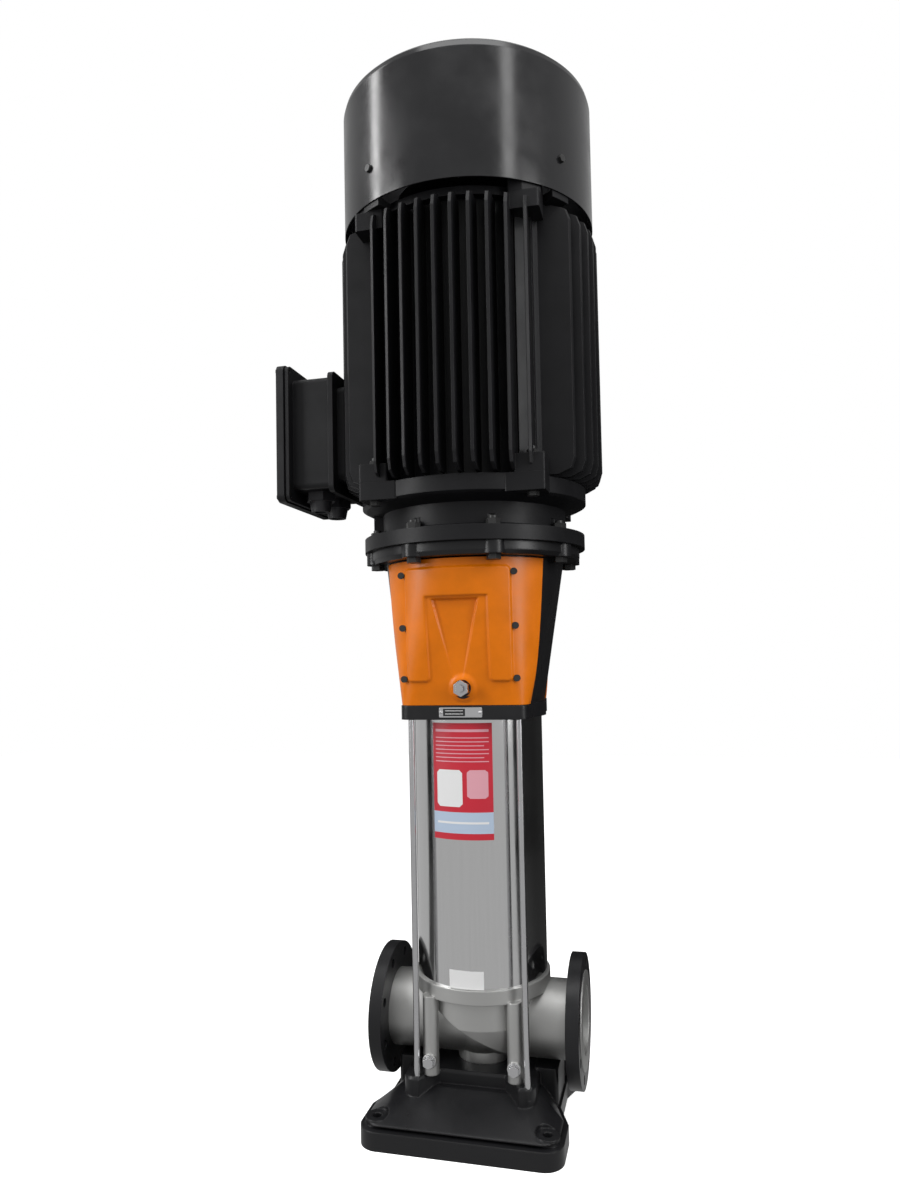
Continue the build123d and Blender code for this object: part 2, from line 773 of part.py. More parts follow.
with BuildPart() as drive_end_shield:
    add(turned([
        (34, 1112), (165, 1112), (165, 1105), (spigot_r, 1105), (spigot_r, motor_z0),
        (motor_flange_r, motor_z0), (motor_flange_r, motor_z1), (de_neck_r + 6, motor_z1), (de_neck_r, motor_z1 + 8),
        (de_neck_r, de_collar_z0 - 10), (de_collar_r - 8, de_collar_z0), (de_collar_r, de_collar_z0 + 4),
        (de_collar_r, frame_z0), (frame_bore_r, frame_z0), (frame_bore_r, frame_z0 + 6), (172, frame_z0 + 6),
        (172, 1125), (86, 1125), (86, 1184), (bearing_r, 1184), (bearing_r, 1150), (60, 1150), (60, 1146), (34, 1146),
    ]))
    add(lug_blocks(de_collar_z0, frame_z0) - tube(frame_bore_r + 4, 0, 1100, 1300))
    add(extrude(Plane.XY.offset(motor_z1) * sector(de_neck_r - 4, 207, 186, 194), de_collar_z0 - motor_z1))
    for a in corner_angles:
        add(extrude(Plane.XY.offset(1125) * sector(84, 174, a - 2, a + 2), 45))
    with BuildSketch(Plane.XY.offset(1090)):
        with PolarLocations(motor_pcd_r, motor_bolts, start_angle=22.5):
            Circle(motor_hole_r)
    extrude(amount=motor_z1 - 1090, mode=Mode.SUBTRACT)
    with BuildSketch(Plane.XY.offset(motor_z1)):
        with PolarLocations(motor_pcd_r, motor_bolts, start_angle=22.5):
            Circle(15)
    extrude(amount=24, mode=Mode.SUBTRACT)
    with BuildSketch(Plane.XY.offset(de_collar_z0 - 1)):
        with Locations(*lug_points):
            Circle(6)
    extrude(amount=60, mode=Mode.SUBTRACT)
keep(drive_end_shield.part, "drive_end_shield")

with BuildPart() as fin_block:
    with BuildSketch(Plane.XY.offset(frame_z0 + 4)):
        for k in range(4):
            for i in range(fins_a_side):
                u = fin_shift + fin_pitch * (i - (fins_a_side - 1) / 2)
                base = sqrt(max(frame_r ** 2 - u ** 2, 0)) - 8
                tip = sqrt(fin_tip_r ** 2 - u ** 2)
                with Locations(Rotation(0, 0, 90 * k)):
                    with Locations((u, -(base + tip + 6) / 2)):
                        Rectangle(fin_t, tip + 6 - base)
    extrude(amount=frame_z1 - frame_z0 - 8)
    add(turned([
        (0, frame_z0), (fin_tip_r - 26, frame_z0 + 4), (fin_tip_r - 6, frame_z0 + 14), (fin_tip_r, frame_z0 + 34),
        (fin_tip_r, frame_z1 - 34), (fin_tip_r - 6, frame_z1 - 14), (fin_tip_r - 26, frame_z1 - 4), (0, frame_z1),
    ]), mode=Mode.INTERSECT)

with BuildPart() as motor_frame:
    add(tube(frame_r, 0, frame_z0, frame_z1))
    add(fin_block.part)
    for x, y in lug_points:
        add(Pos(x, y, 0) * tube(16, 0, frame_z0, frame_z1), mode=Mode.SUBTRACT)
    add(lug_blocks(frame_z0, frame_z0 + 34, 120.0))
    add(lug_blocks(frame_z1 - 34, frame_z1, 120.0))
    for a in corner_angles:
        add(extrude(Plane.XY.offset(frame_z0) * sector(195, 216, a - 9, a + 9), frame_z1 - frame_z0))
    with BuildSketch(Plane.YZ.offset(box_x1)):
        with Locations((0, 1362)):
            RectangleRounded(176, 196, 16)
    extrude(amount=-box_x1 - 195)
    with BuildSketch(Plane.YZ.offset(box_x1 - 1)):
        with Locations((0, 1362)):
            Circle(30)
    extrude(amount=90, mode=Mode.SUBTRACT)
    add(tube(frame_bore_r, 0, frame_z0 - 1, frame_z1 + 1), mode=Mode.SUBTRACT)
    with BuildSketch(Plane.XY.offset(frame_z0 - 1)):
        with Locations(*lug_points):
            Circle(6)
    extrude(amount=40, mode=Mode.SUBTRACT)
    with BuildSketch(Plane.XY.offset(frame_z1 + 1)):
        with Locations(*lug_points):
            Circle(6)
    extrude(amount=-30, mode=Mode.SUBTRACT)
keep(motor_frame.part, "motor_frame")

lower_list = []
upper_list = []
for bx, by in lug_points:
    lower_list.append(hex_bolt(19, 8, 6, 84, (bx, by, de_collar_z0), (0, 0, -1)))
    lower_list.append(hex_nut(19, 10, 6, (bx, by, frame_z0 + 34), (0, 0, 1)))
    upper_list.append(hex_bolt(19, 8, 6, 50, (bx, by, 1774), (0, 0, 1)))
keep(Compound(children=lower_list), "shield_bolts_lower")
keep(Compound(children=upper_list), "shield_bolts_upper")

with BuildPart() as fan_end_shield:
    add(turned([
        (34, 1796), (34, 1786), (60, 1786), (60, 1785), (bearing_r, 1785), (bearing_r, 1752), (86, 1752), (86, 1764),
        (172, 1744), (frame_bore_r, 1744), (frame_bore_r, frame_z1), (222, frame_z1), (222, 1766), (176, 1772),
        (90, 1790), (86, 1796),
    ]))
    add((lug_blocks(frame_z1, 1774, 120.0) - tube(190, 0, 1700, 1800)) & tube(252.5, 0, 1700, 1800))
    for k in range(4):
        a = -90 - cowl_screw_angle + 90 * k
        add(extrude(Plane.XY.offset(1752) * sector(200, 254.5, a - 5, a + 5), 14))
        add(extrude(Plane.XY.offset(1752) * sector(248.5, 254.5, a - 5, a + 5), 96))
        nx, ny = polar(1, a)
        with BuildSketch(Plane(origin=(nx * 256, ny * 256, cowl_screw_z), z_dir=(nx, ny, 0))):
            Circle(4)
        extrude(amount=-14, mode=Mode.SUBTRACT)
    with BuildSketch(Plane.XY.offset(frame_z1 - 1)):
        with Locations(*lug_points):
            Circle(6)
    extrude(amount=60, mode=Mode.SUBTRACT)
keep(fan_end_shield.part, "fan_end_shield")

for where, z in (("drive_end", 1150.0), ("fan_end", 1752.0)):
    keep(tube(bearing_r, race_r + running_gap, z, z + bearing_w), where + "_outer_race")
    keep(tube(race_r, bearing_bore_r, z, z + bearing_w), where + "_inner_race")
keep(turned([
    (0, motor_shaft_z0), (27.5, motor_shaft_z0), (27.5, 1130), (bearing_bore_r, 1130), (bearing_bore_r, 1188),
    (40, 1188), (40, 1747), (bearing_bore_r, 1747), (bearing_bore_r, 1800), (24, 1800), (24, 1925), (0, 1925),
]), "motor_shaft")
with BuildPart() as stator_core:
    add(tube(frame_bore_r, 112, 1360, 1620))
    with BuildSketch(Plane.XY.offset(1360)):
        with PolarLocations(124, 24):
            Rectangle(26, 7)
    extrude(amount=260, mode=Mode.SUBTRACT)
keep(stator_core.part, "stator_core")
keep(Compound(children=[
    turned([(122, 1300), (158, 1300), (164, 1318), (160, 1360), (122, 1360)]),
    turned([(122, 1620), (160, 1620), (164, 1662), (158, 1680), (122, 1680)]),
]), "stator_windings")
keep(tube(110.8, 40, 1360, 1620), "rotor_core")
keep(Compound(children=[
    turned([(80, 1340), (108, 1340), (108, 1360), (80, 1360)]),
    turned([(80, 1620), (108, 1620), (108, 1640), (80, 1640)]),
]), "rotor_end_rings")

with BuildPart() as fan:
    add(tube(42, 24, 1836, 1896))
    add(tube(150, 30, 1836, 1840))
    with BuildSketch(Plane.XY.offset(1838)):
        with PolarLocations(0, 9):
            with Locations((128, 0)):
                Rectangle(176, 4)
    extrude(amount=58)
    add(tube(24, 0, 1830, 1900), mode=Mode.SUBTRACT)
keep(fan.part, "fan")

with BuildPart() as fan_cowl:
    add(turned([
        (cowl_r, cowl_z0), (cowl_r, cowl_z1 - cowl_edge_r), (cowl_r - 3, cowl_z1 - 11), (cowl_r - 11, cowl_z1 - 3),
        (cowl_r - cowl_edge_r, cowl_z1), (0, cowl_z1), (0, cowl_z1 - cowl_t), (cowl_r - cowl_edge_r, cowl_z1 - cowl_t),
        (cowl_r - 12, cowl_z1 - 6), (cowl_r - 5.5, cowl_z1 - 12), (cowl_r - cowl_t, cowl_z1 - cowl_edge_r),
        (cowl_r - cowl_t, cowl_z0),
    ]))
    for r in (66, 98, 130, 162):
        with BuildSketch(Plane.XY.offset(cowl_z1 + 1)):
            Circle(r + 23)
            Circle(r, mode=Mode.SUBTRACT)
            with PolarLocations(120, 8):
                Rectangle(240, 9, mode=Mode.SUBTRACT)
        extrude(amount=-6, mode=Mode.SUBTRACT)
    for k in range(4):
        nx, ny = polar(1, -90 - cowl_screw_angle + 90 * k)
        with BuildSketch(Plane(origin=(nx * 260, ny * 260, cowl_screw_z), z_dir=(nx, ny, 0))):
            Circle(4)
        extrude(amount=-10, mode=Mode.SUBTRACT)
keep(fan_cowl.part, "fan_cowl")
cowl_screw_list = []
for k in range(4):
    nx, ny = polar(1, -90 - cowl_screw_angle + 90 * k)
    cowl_screw_list.append(hex_bolt(13, 5, 4, 14, (nx * 257.2, ny * 257.2, cowl_screw_z), (nx, ny, 0)))
keep(Compound(children=cowl_screw_list), "cowl_screws")

# ---------------------------------------------------------- terminal box

mid_z = (box_z0 + box_z1) / 2
with BuildPart() as terminal_box_body:
    with BuildSketch(Plane.YZ.offset(box_x1)):
        with Locations((0, mid_z)):
            RectangleRounded(2 * box_half_y + 14, box_z1 - box_z0 + 18, 14)
    extrude(amount=-11)
    with BuildSketch(Plane.YZ.offset(box_x1)):
        with Locations((0, mid_z)):
            RectangleRounded(2 * box_half_y, box_z1 - box_z0, 12)
    extrude(amount=box_x0 - box_x1)
    with BuildSketch(Plane.YZ.offset(box_x0)):
        with Locations((0, (lid_z0 + lid_z1) / 2)):
            RectangleRounded(2 * lid_half_y - 6, lid_z1 - lid_z0 - 6, 12)
    extrude(amount=8)
    with BuildSketch(Plane.YZ.offset(box_x0)):
        with Locations((0, mid_z)):
            RectangleRounded(2 * box_half_y - 12, box_z1 - box_z0 - 12, 4)
    extrude(amount=box_x1 - box_x0 - 8, mode=Mode.SUBTRACT)
    with BuildSketch(Plane.YZ.offset(box_x1)):
        with Locations((0, 1362)):
            Circle(30)
    extrude(amount=-12, mode=Mode.SUBTRACT)
    with BuildSketch(Plane.XY.offset(box_z0)):
        with Locations((-320, -46), (-320, 46)):
            Circle(25)
    extrude(amount=8, mode=Mode.SUBTRACT)
    with BuildSketch(Plane.YZ.offset(box_x0)):
        with Locations((-118, 1231), (118, 1231), (-118, 1491), (118, 1491)):
            Circle(3)
    extrude(amount=9, mode=Mode.SUBTRACT)
keep(terminal_box_body.part, "terminal_box_body")

with BuildPart() as terminal_box_gasket:
    with BuildSketch(Plane.YZ.offset(box_x0)):
        with Locations((0, mid_z)):
            RectangleRounded(2 * box_half_y + 6, box_z1 - box_z0 + 6, 12)
            RectangleRounded(2 * box_half_y - 12, box_z1 - box_z0 - 12, 8, mode=Mode.SUBTRACT)
    extrude(amount=-2)
keep(terminal_box_gasket.part, "terminal_box_gasket")
with BuildPart() as terminal_box_lid:
    with BuildSketch(Plane.YZ.offset(box_x0 - 2)):
        with Locations((0, (lid_z0 + lid_z1) / 2)):
            RectangleRounded(2 * lid_half_y, lid_z1 - lid_z0, 16)
    extrude(amount=-lid_t)
    with BuildSketch(Plane.YZ.offset(box_x0 - 2 - lid_t)):
        with Locations((0, mid_z)):
            RectangleRounded(196, 206, 16)
    extrude(amount=-14, taper=30)
    with BuildSketch(Plane.YZ.offset(box_x0 - 2)):
        with Locations((0, mid_z)):
            RectangleRounded(180, 190, 12)
    extrude(amount=-lid_t - 4, mode=Mode.SUBTRACT)
    with BuildSketch(Plane.YZ.offset(box_x0 - 2)):
        with Locations((-118, 1231), (118, 1231), (-118, 1491), (118, 1491)):
            Circle(3)
    extrude(amount=-lid_t - 1, mode=Mode.SUBTRACT)
keep(terminal_box_lid.part, "terminal_box_lid")
lid_screw_list = []
for y in (-118, 118):
    for z in (1231, 1491):
        lid_screw_list.append(hex_bolt(10, 4, 3, 22, (box_x0 - 2 - lid_t, y, z), (-1, 0, 0)))
keep(Compound(children=lid_screw_list), "lid_screws")

gland_list = []
for y in (-46, 46):
    with BuildPart() as gland:
        with BuildSketch(Plane.XY.offset(box_z0)):
            with Locations((-320, y)):
                RegularPolygon(28, 6, major_radius=False)
        extrude(amount=-18)
        with BuildSketch(Plane.XY.offset(box_z0)):
            with Locations((-320, y)):
                Circle(25)
        extrude(amount=8)
        with BuildSketch(Plane.XY.offset(box_z0 - 18)):
            with Locations((-320, y)):
                Circle(24)
        extrude(amount=-22, taper=12)
        with BuildSketch(Plane.XY.offset(box_z0 + 9)):
            with Locations((-320, y)):
                Circle(13)
        extrude(amount=-50, mode=Mode.SUBTRACT)
    gland_list.append(gland.part)
keep(Compound(children=gland_list), "cable_glands")

with BuildPart() as terminal_board:
    with BuildSketch(Plane.YZ.offset(box_x1 - 8)):
        with Locations((0, 1420)):
            Rectangle(110, 56)
    extrude(amount=-16)
    with BuildSketch(Plane.YZ.offset(box_x1 - 24)):
        for y in (-36, 0, 36):
            with Locations((y, 1406), (y, 1434)):
                Circle(5)
    extrude(amount=-24)
keep(terminal_board.part, "terminal_board")
print(len(done), "sub-parts")
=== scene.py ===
"""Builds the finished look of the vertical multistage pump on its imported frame."""
import json
import math

import bmesh
import bpy
from mathutils import Matrix, Vector


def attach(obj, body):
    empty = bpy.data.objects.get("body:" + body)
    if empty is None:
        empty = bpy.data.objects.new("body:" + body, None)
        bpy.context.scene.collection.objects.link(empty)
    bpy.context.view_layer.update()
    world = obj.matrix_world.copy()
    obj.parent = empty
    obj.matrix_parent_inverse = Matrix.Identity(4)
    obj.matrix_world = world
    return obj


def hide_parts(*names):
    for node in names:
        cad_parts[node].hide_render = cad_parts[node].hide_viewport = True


bl_info = {
    "name": "Vertical multistage pump",
    "version": (1, 0, 0),
    "blender": (4, 5, 0),
    "location": "View3D > Sidebar > Pump",
    "description": "Finishes, trim and stage of a vertical multistage pump",
    "category": "Object",
}

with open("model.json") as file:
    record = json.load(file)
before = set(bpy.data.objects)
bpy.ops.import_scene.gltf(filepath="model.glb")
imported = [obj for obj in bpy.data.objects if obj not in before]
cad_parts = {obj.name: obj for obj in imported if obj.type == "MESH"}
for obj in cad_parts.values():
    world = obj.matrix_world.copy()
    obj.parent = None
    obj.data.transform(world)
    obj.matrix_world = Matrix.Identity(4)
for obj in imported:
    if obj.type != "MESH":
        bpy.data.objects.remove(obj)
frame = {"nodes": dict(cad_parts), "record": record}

# Sizes are in metres, heights are above the floor, and the shaft axis is the Z axis.
TAU = 2.0 * math.pi


class PumpFinish(bpy.types.PropertyGroup):
    """Colours and surface qualities."""

    casting_color: bpy.props.FloatVectorProperty(
        name="Casting black",
        description="Paint of base and stool",
        subtype="COLOR",
        size=4,
        default=(0.010, 0.010, 0.011, 1),
    )
    motor_color: bpy.props.FloatVectorProperty(
        name="Motor black",
        description="Paint of the motor",
        subtype="COLOR",
        size=4,
        default=(0.009, 0.009, 0.010, 1),
    )
    cowl_color: bpy.props.FloatVectorProperty(
        name="Cowl black",
        description="Paint of the fan cowl",
        subtype="COLOR",
        size=4,
        default=(0.010, 0.010, 0.011, 1),
    )
    guard_color: bpy.props.FloatVectorProperty(
        name="Guard orange",
        description="Paint of the coupling guards",
        subtype="COLOR",
        size=4,
        default=(0.72, 0.170, 0.0, 1),
    )
    steel_color: bpy.props.FloatVectorProperty(
        name="Sleeve steel",
        description="Polished stainless sleeve",
        subtype="COLOR",
        size=4,
        default=(0.70, 0.70, 0.70, 1),
    )
    blasted_color: bpy.props.FloatVectorProperty(
        name="Cast steel",
        description="Blasted stainless casting",
        subtype="COLOR",
        size=4,
        default=(0.50, 0.50, 0.49, 1),
    )
    bolt_color: bpy.props.FloatVectorProperty(
        name="Bolt steel",
        description="Bright bolts and rods",
        subtype="COLOR",
        size=4,
        default=(0.60, 0.60, 0.61, 1),
    )
    label_red: bpy.props.FloatVectorProperty(
        name="Label field",
        description="Field of the blank label",
        subtype="COLOR",
        size=4,
        default=(0.56, 0.02, 0.04, 1),
    )
    casting_rough: bpy.props.FloatProperty(
        name="Casting roughness",
        description="Roughness of painted castings",
        default=0.31,
        min=0,
        max=1,
    )
    cowl_rough: bpy.props.FloatProperty(
        name="Cowl roughness",
        description="Roughness of the cowl",
        default=0.2,
        min=0,
        max=1,
    )
    edge_round: bpy.props.FloatProperty(
        name="Edge rounding",
        description="Radius of the shaded edge rounding",
        default=0.0016,
        min=0,
        unit="LENGTH",
    )


class PumpShot(bpy.types.PropertyGroup):
    """Place and lens of the camera."""

    distance: bpy.props.FloatProperty(
        name="Distance",
        description="Camera distance from the pump axis",
        default=1.79032,
        unit="LENGTH",
    )
    height: bpy.props.FloatProperty(
        name="Height",
        description="Camera height",
        default=0.89727,
        unit="LENGTH",
    )
    azimuth: bpy.props.FloatProperty(
        name="Azimuth",
        description="Camera side angle",
        default=math.radians(12.5),
        subtype="ANGLE",
    )
    yaw: bpy.props.FloatProperty(
        name="Yaw",
        description="Turn away from the axis",
        default=math.radians(1.72),
        subtype="ANGLE",
    )
    pitch: bpy.props.FloatProperty(
        name="Pitch",
        description="Upward tilt",
        default=math.radians(2.51),
        subtype="ANGLE",
    )
    roll: bpy.props.FloatProperty(
        name="Roll",
        description="Camera roll",
        default=math.radians(1.08),
        subtype="ANGLE",
    )
    lens: bpy.props.FloatProperty(
        name="Lens",
        description="Focal length in millimetres",
        default=26.087,
        min=1,
    )
    shift: bpy.props.FloatProperty(
        name="Shift",
        description="Upward lens shift",
        default=0.01576,
    )


def finish_props():
    return bpy.context.scene.pump_finish


# ------------------------------------------------------------------ materials

WHITE = (1, 1, 1, 1)

# How coarse the noise of soft clouds and of fine grain is: a higher scale is finer.
PAINT_CLOUD_SCALE = 14.0
METAL_CLOUD_SCALE = 9.0
PLAIN_GRAIN_SCALE = 500.0
CLOUD_LOW = 0.3
CLOUD_HIGH = 0.7

PAINT_RELIEF = 0.0002
FINE_RELIEF = 0.0001
PLAIN_EDGE = 0.0004


def new_material(name, color, rough, metallic=0.0):
    """A material with its node tree, its shader and its Object coordinates."""
    material = bpy.data.materials.new(name)
    material.use_nodes = True
    tree = material.node_tree
    shader = tree.nodes["Principled BSDF"]
    shader.inputs["Base Color"].default_value = color
    shader.inputs["Roughness"].default_value = rough
    shader.inputs["Metallic"].default_value = metallic
    where = tree.nodes.new("ShaderNodeTexCoord")
    return material, tree, shader, where.outputs["Object"]


def stretch(tree, coords, scale):
    mapping = tree.nodes.new("ShaderNodeMapping")
    mapping.inputs["Scale"].default_value = scale
    tree.links.new(coords, mapping.inputs["Vector"])
    return mapping.outputs["Vector"]


def noise(tree, coords, scale, detail=3.0, rough=0.5):
    cells = tree.nodes.new("ShaderNodeTexNoise")
    cells.inputs["Scale"].default_value = scale
    cells.inputs["Detail"].default_value = detail
    cells.inputs["Roughness"].default_value = rough
    tree.links.new(coords, cells.inputs["Vector"])
    return cells.outputs["Fac"]


def vary_rough(tree, shader, cloud, smooth, rough):
    """Runs the roughness from smooth to rough over the soft cloud."""
    ramp = tree.nodes.new("ShaderNodeMapRange")
    ramp.inputs["From Min"].default_value = CLOUD_LOW
    ramp.inputs["From Max"].default_value = CLOUD_HIGH
    ramp.inputs["To Min"].default_value = smooth
    ramp.inputs["To Max"].default_value = rough
    tree.links.new(cloud, ramp.inputs["Value"])
    tree.links.new(ramp.outputs["Result"], shader.inputs["Roughness"])


def vary_color(tree, shader, pattern, dark, light):
    mix = tree.nodes.new("ShaderNodeMix")
    mix.data_type = "RGBA"
    tree.links.new(pattern, mix.inputs["Factor"])
    mix.inputs["A"].default_value = dark
    mix.inputs["B"].default_value = light
    tree.links.new(mix.outputs["Result"], shader.inputs["Base Color"])


def surface_bump(tree, shader, height, strength, distance, rounding):
    """Fine relief, over edges that a bevel of the given radius shades round."""
    bump = tree.nodes.new("ShaderNodeBump")
    bump.inputs["Strength"].default_value = strength
    bump.inputs["Distance"].default_value = distance
    tree.links.new(height, bump.inputs["Height"])
    if rounding > 0:
        bevel = tree.nodes.new("ShaderNodeBevel")
        bevel.samples = 4
        bevel.inputs["Radius"].default_value = rounding
        tree.links.new(bevel.outputs["Normal"], bump.inputs["Normal"])
    tree.links.new(bump.outputs["Normal"], shader.inputs["Normal"])


def scaled(color, k):
    return (min(color[0] * k, 1), min(color[1] * k, 1), min(color[2] * k, 1), 1)


def painted(name, color, rough, grain=0.35, grain_scale=900.0, shine=0.5, rounding=1.0):
    """Paint with faint clouds in its colour and gloss, and a fine orange-peel grain."""
    material, tree, shader, place = new_material(name, color, rough)
    cloud = noise(tree, place, PAINT_CLOUD_SCALE, detail=4.0, rough=0.6)
    vary_color(tree, shader, cloud, scaled(color, 0.8), scaled(color, 1.3))
    peel = noise(tree, place, grain_scale, detail=2.0)
    surface_bump(tree, shader, peel, grain, PAINT_RELIEF, finish_props().edge_round * rounding)
    vary_rough(tree, shader, cloud, rough - 0.05, rough + 0.07)
    shader.inputs["Specular IOR Level"].default_value = shine
    return material


def metal(
    name, color, rough, grain=0.15, grain_scale=700.0, stretched=(1, 1, 1), streaks=0.06, rounding=0.0008
):
    """Bare metal with a grain that shows in its colour and relief, drawn out by stretched."""
    material, tree, shader, place = new_material(name, color, rough, 1.0)
    lines = noise(tree, stretch(tree, place, stretched), grain_scale)
    vary_color(tree, shader, lines, scaled(color, 1 - streaks * 1.5), scaled(color, 1 + streaks))
    surface_bump(tree, shader, lines, grain, FINE_RELIEF, rounding)
    cloud = noise(tree, place, METAL_CLOUD_SCALE)
    vary_rough(tree, shader, cloud, max(rough - 0.04, 0.02), rough + 0.05)
    return material


def plain(name, color, rough, metallic=0.0):
    """One colour with a fine grain, for plastic, rubber, print and small black parts."""
    material, tree, shader, place = new_material(name, color, rough, metallic)
    fine = noise(tree, place, PLAIN_GRAIN_SCALE, detail=2.0)
    surface_bump(tree, shader, fine, 0.1, FINE_RELIEF, PLAIN_EDGE)
    return material


def put(material, *slots):
    """Gives every CAD node of these material slots the material."""
    for part in frame["record"]["subparts"]:
        if part["material_slot"] not in slots:
            continue
        obj = frame["nodes"][part["node"]]
        if not obj.material_slots:
            obj.data.materials.append(material)
        for slot in obj.material_slots:
            slot.material = material


# --------------------------------------------------------------------- meshes

MERGE_DISTANCE = 1e-6


def new_object(name, bm, material, smooth_angle=40.0):
    """Makes an object of a bmesh, with its sharp edges marked, and frees the bmesh."""
    bmesh.ops.remove_doubles(bm, verts=bm.verts, dist=MERGE_DISTANCE)
    bmesh.ops.recalc_face_normals(bm, faces=bm.faces)
    mesh = bpy.data.meshes.new(name)
    for face in bm.faces:
        face.smooth = True
    limit = math.radians(smooth_angle)
    for edge in bm.edges:
        edge.smooth = not (len(edge.link_faces) == 2 and edge.calc_face_angle(0) > limit)
    bm.to_mesh(mesh)
    bm.free()
    obj = bpy.data.objects.new(name, mesh)
    bpy.context.scene.collection.objects.link(obj)
    mesh.materials.append(material)
    return obj


def shaped_grid(columns, rows, place):
    """A grid of faces whose points place() sets, from how far across and up each one is, 0 to 1."""
    bm = bmesh.new()
    bmesh.ops.create_grid(bm, x_segments=columns, y_segments=rows, size=1.0)
    for vert in bm.verts:
        across = round((vert.co.x + 1) / 2 * columns) / columns
        up = round((vert.co.y + 1) / 2 * rows) / rows
        vert.co = place(across, up)
    return bm


def turned(bm, points, center, axis, angle, steps, merge=False):
    """Turns an open line of points about an axis through center."""
    verts = [bm.verts.new(point) for point in points]
    edges = [bm.edges.new(pair) for pair in zip(verts, verts[1:])]
    bmesh.ops.spin(
        bm, geom=verts + edges, cent=center, axis=axis, angle=angle, steps=steps, use_merge=merge
    )


# ---------------------------------------------------------------- CAD finishes

# How a metal's grain is stretched: in rings round the shaft axis, in long upright
# streaks, and along the plate from side to side.
RINGED = (1, 1, 20)
DRAWN_UPRIGHT = (1, 1, 0.02)
BRUSHED = (1, 20, 20)


class PUMP_OT_castings(bpy.types.Operator):
    """Paints the base, the stool and the flange rings"""

    bl_idname = "pump.castings"
    bl_label = "Painted castings"

    def execute(self, context):
        p = finish_props()
        casting = painted(
            "casting_paint",
            p.casting_color,
            p.casting_rough,
            grain=0.4,
            grain_scale=600.0,
            shine=0.34,
            rounding=2.4,
        )
        put(casting, "base_black", "stool_black")
        ring = painted("ring_paint", scaled(p.casting_color, 1.1), 0.34, grain=0.3, shine=0.3)
        put(ring, "flange_black")
        blasted = metal(
            "blasted_steel", p.blasted_color, 0.52, grain=0.5, grain_scale=900.0, streaks=0.05, rounding=0.003
        )
        put(blasted, "cast_stainless")
        return {"FINISHED"}


class PUMP_OT_motor(bpy.types.Operator):
    """Paints the motor, its cowl and its terminal box"""

    bl_idname = "pump.motor"
    bl_label = "Motor paint"

    def execute(self, context):
        p = finish_props()
        motor = painted("motor_paint", p.motor_color, 0.42, grain=0.3, grain_scale=800.0, shine=0.2)
        put(motor, "motor_black")
        cowl = painted("cowl_paint", p.cowl_color, p.cowl_rough, grain=0.1, grain_scale=1200.0, shine=0.45)
        put(cowl, "cowl_black")
        put(painted("box_paint", p.motor_color, 0.38, grain=0.25, shine=0.25), "box_black")
        put(plain("screw_black", (0.02, 0.02, 0.02, 1), 0.4), "screw_black")
        put(plain("fan_plastic", (0.03, 0.03, 0.034, 1), 0.5), "fan_plastic", "gland_plastic")
        put(plain("board_plastic", (0.09, 0.06, 0.04, 1), 0.5), "board_plastic")
        put(plain("winding_varnish", (0.50, 0.20, 0.08, 1), 0.35, metallic=0.6), "winding_copper")
        core_color = (0.22, 0.22, 0.23, 1)
        core = metal("core_steel", core_color, 0.4, grain=0.3, grain_scale=500.0, stretched=RINGED)
        put(core, "core_steel")
        return {"FINISHED"}


class PUMP_OT_steel(bpy.types.Operator):
    """Finishes the bright metal pieces, the coupling and the seals"""

    bl_idname = "pump.steel"
    bl_label = "Bright steel"

    def execute(self, context):
        p = finish_props()
        polish = metal(
            "sleeve_polish",
            p.steel_color,
            0.12,
            grain=0.06,
            grain_scale=260.0,
            stretched=DRAWN_UPRIGHT,
            streaks=0.03,
            rounding=0.0,
        )
        put(polish, "sleeve_steel")
        put(metal("bolt_steel", p.bolt_color, 0.24), "bolt_steel")
        put(metal("stage_steel", (0.55, 0.55, 0.55, 1), 0.3), "stage_steel")
        shaft_color = (0.52, 0.52, 0.53, 1)
        shaft = metal("shaft_steel", shaft_color, 0.2, grain=0.2, grain_scale=500.0, stretched=RINGED)
        put(shaft, "shaft_steel")
        put(metal("ring_aluminium", (0.66, 0.67, 0.69, 1), 0.35), "ring_aluminium")
        plate_color = (0.62, 0.62, 0.63, 1)
        plate = metal("plate_aluminium", plate_color, 0.35, grain=0.2, grain_scale=400.0, stretched=BRUSHED)
        put(plate, "plate_aluminium")
        put(painted("coupling_paint", (0.10, 0.10, 0.105, 1), 0.45), "coupling_iron")
        put(plain("seal_rubber", (0.02, 0.02, 0.02, 1), 0.7), "seal_rubber")
        put(plain("seal_carbide", (0.08, 0.08, 0.09, 1), 0.25), "seal_carbide")
        return {"FINISHED"}


# ------------------------------------------------------------- coupling guards

# The stool's wall, from its rounded square foot to its round top: the centre and
# the radius of its corners at both ends, and how far the wall leans outwards.
STOOL_FOOT_Z = 0.805
STOOL_RISE = 0.280
FOOT_CORNER_X = 0.100
FOOT_CORNER_Y = 0.1145
FOOT_CORNER_R = 0.022
TOP_CORNER = 0.0005
TOP_CORNER_R = 0.1805
WALL_LEAN = 0.17

GUARD_Z0 = 0.8055
GUARD_Z1 = 1.0825
GUARD_GAP = 0.0026
GUARD_THICK = 0.002
GUARD_BACK_FRONT = 0.098
GUARD_BACK_REAR = 0.118
GUARD_COLUMNS = 190
GUARD_ROWS = 150
GUARD_SMOOTH_ANGLE = 50.0

# Raised panels, as x0, x1, z0 and z1 on the front guard: left, right and across the top.
PANELS = (
    (-0.104, -0.060, 0.851, 1.030),
    (0.058, 0.100, 0.851, 1.030),
    (-0.104, 0.100, 1.012, 1.066),
)
PANEL_CORNER = 0.008
PANEL_HEIGHT = 0.0042
PANEL_SLOPE = 0.005

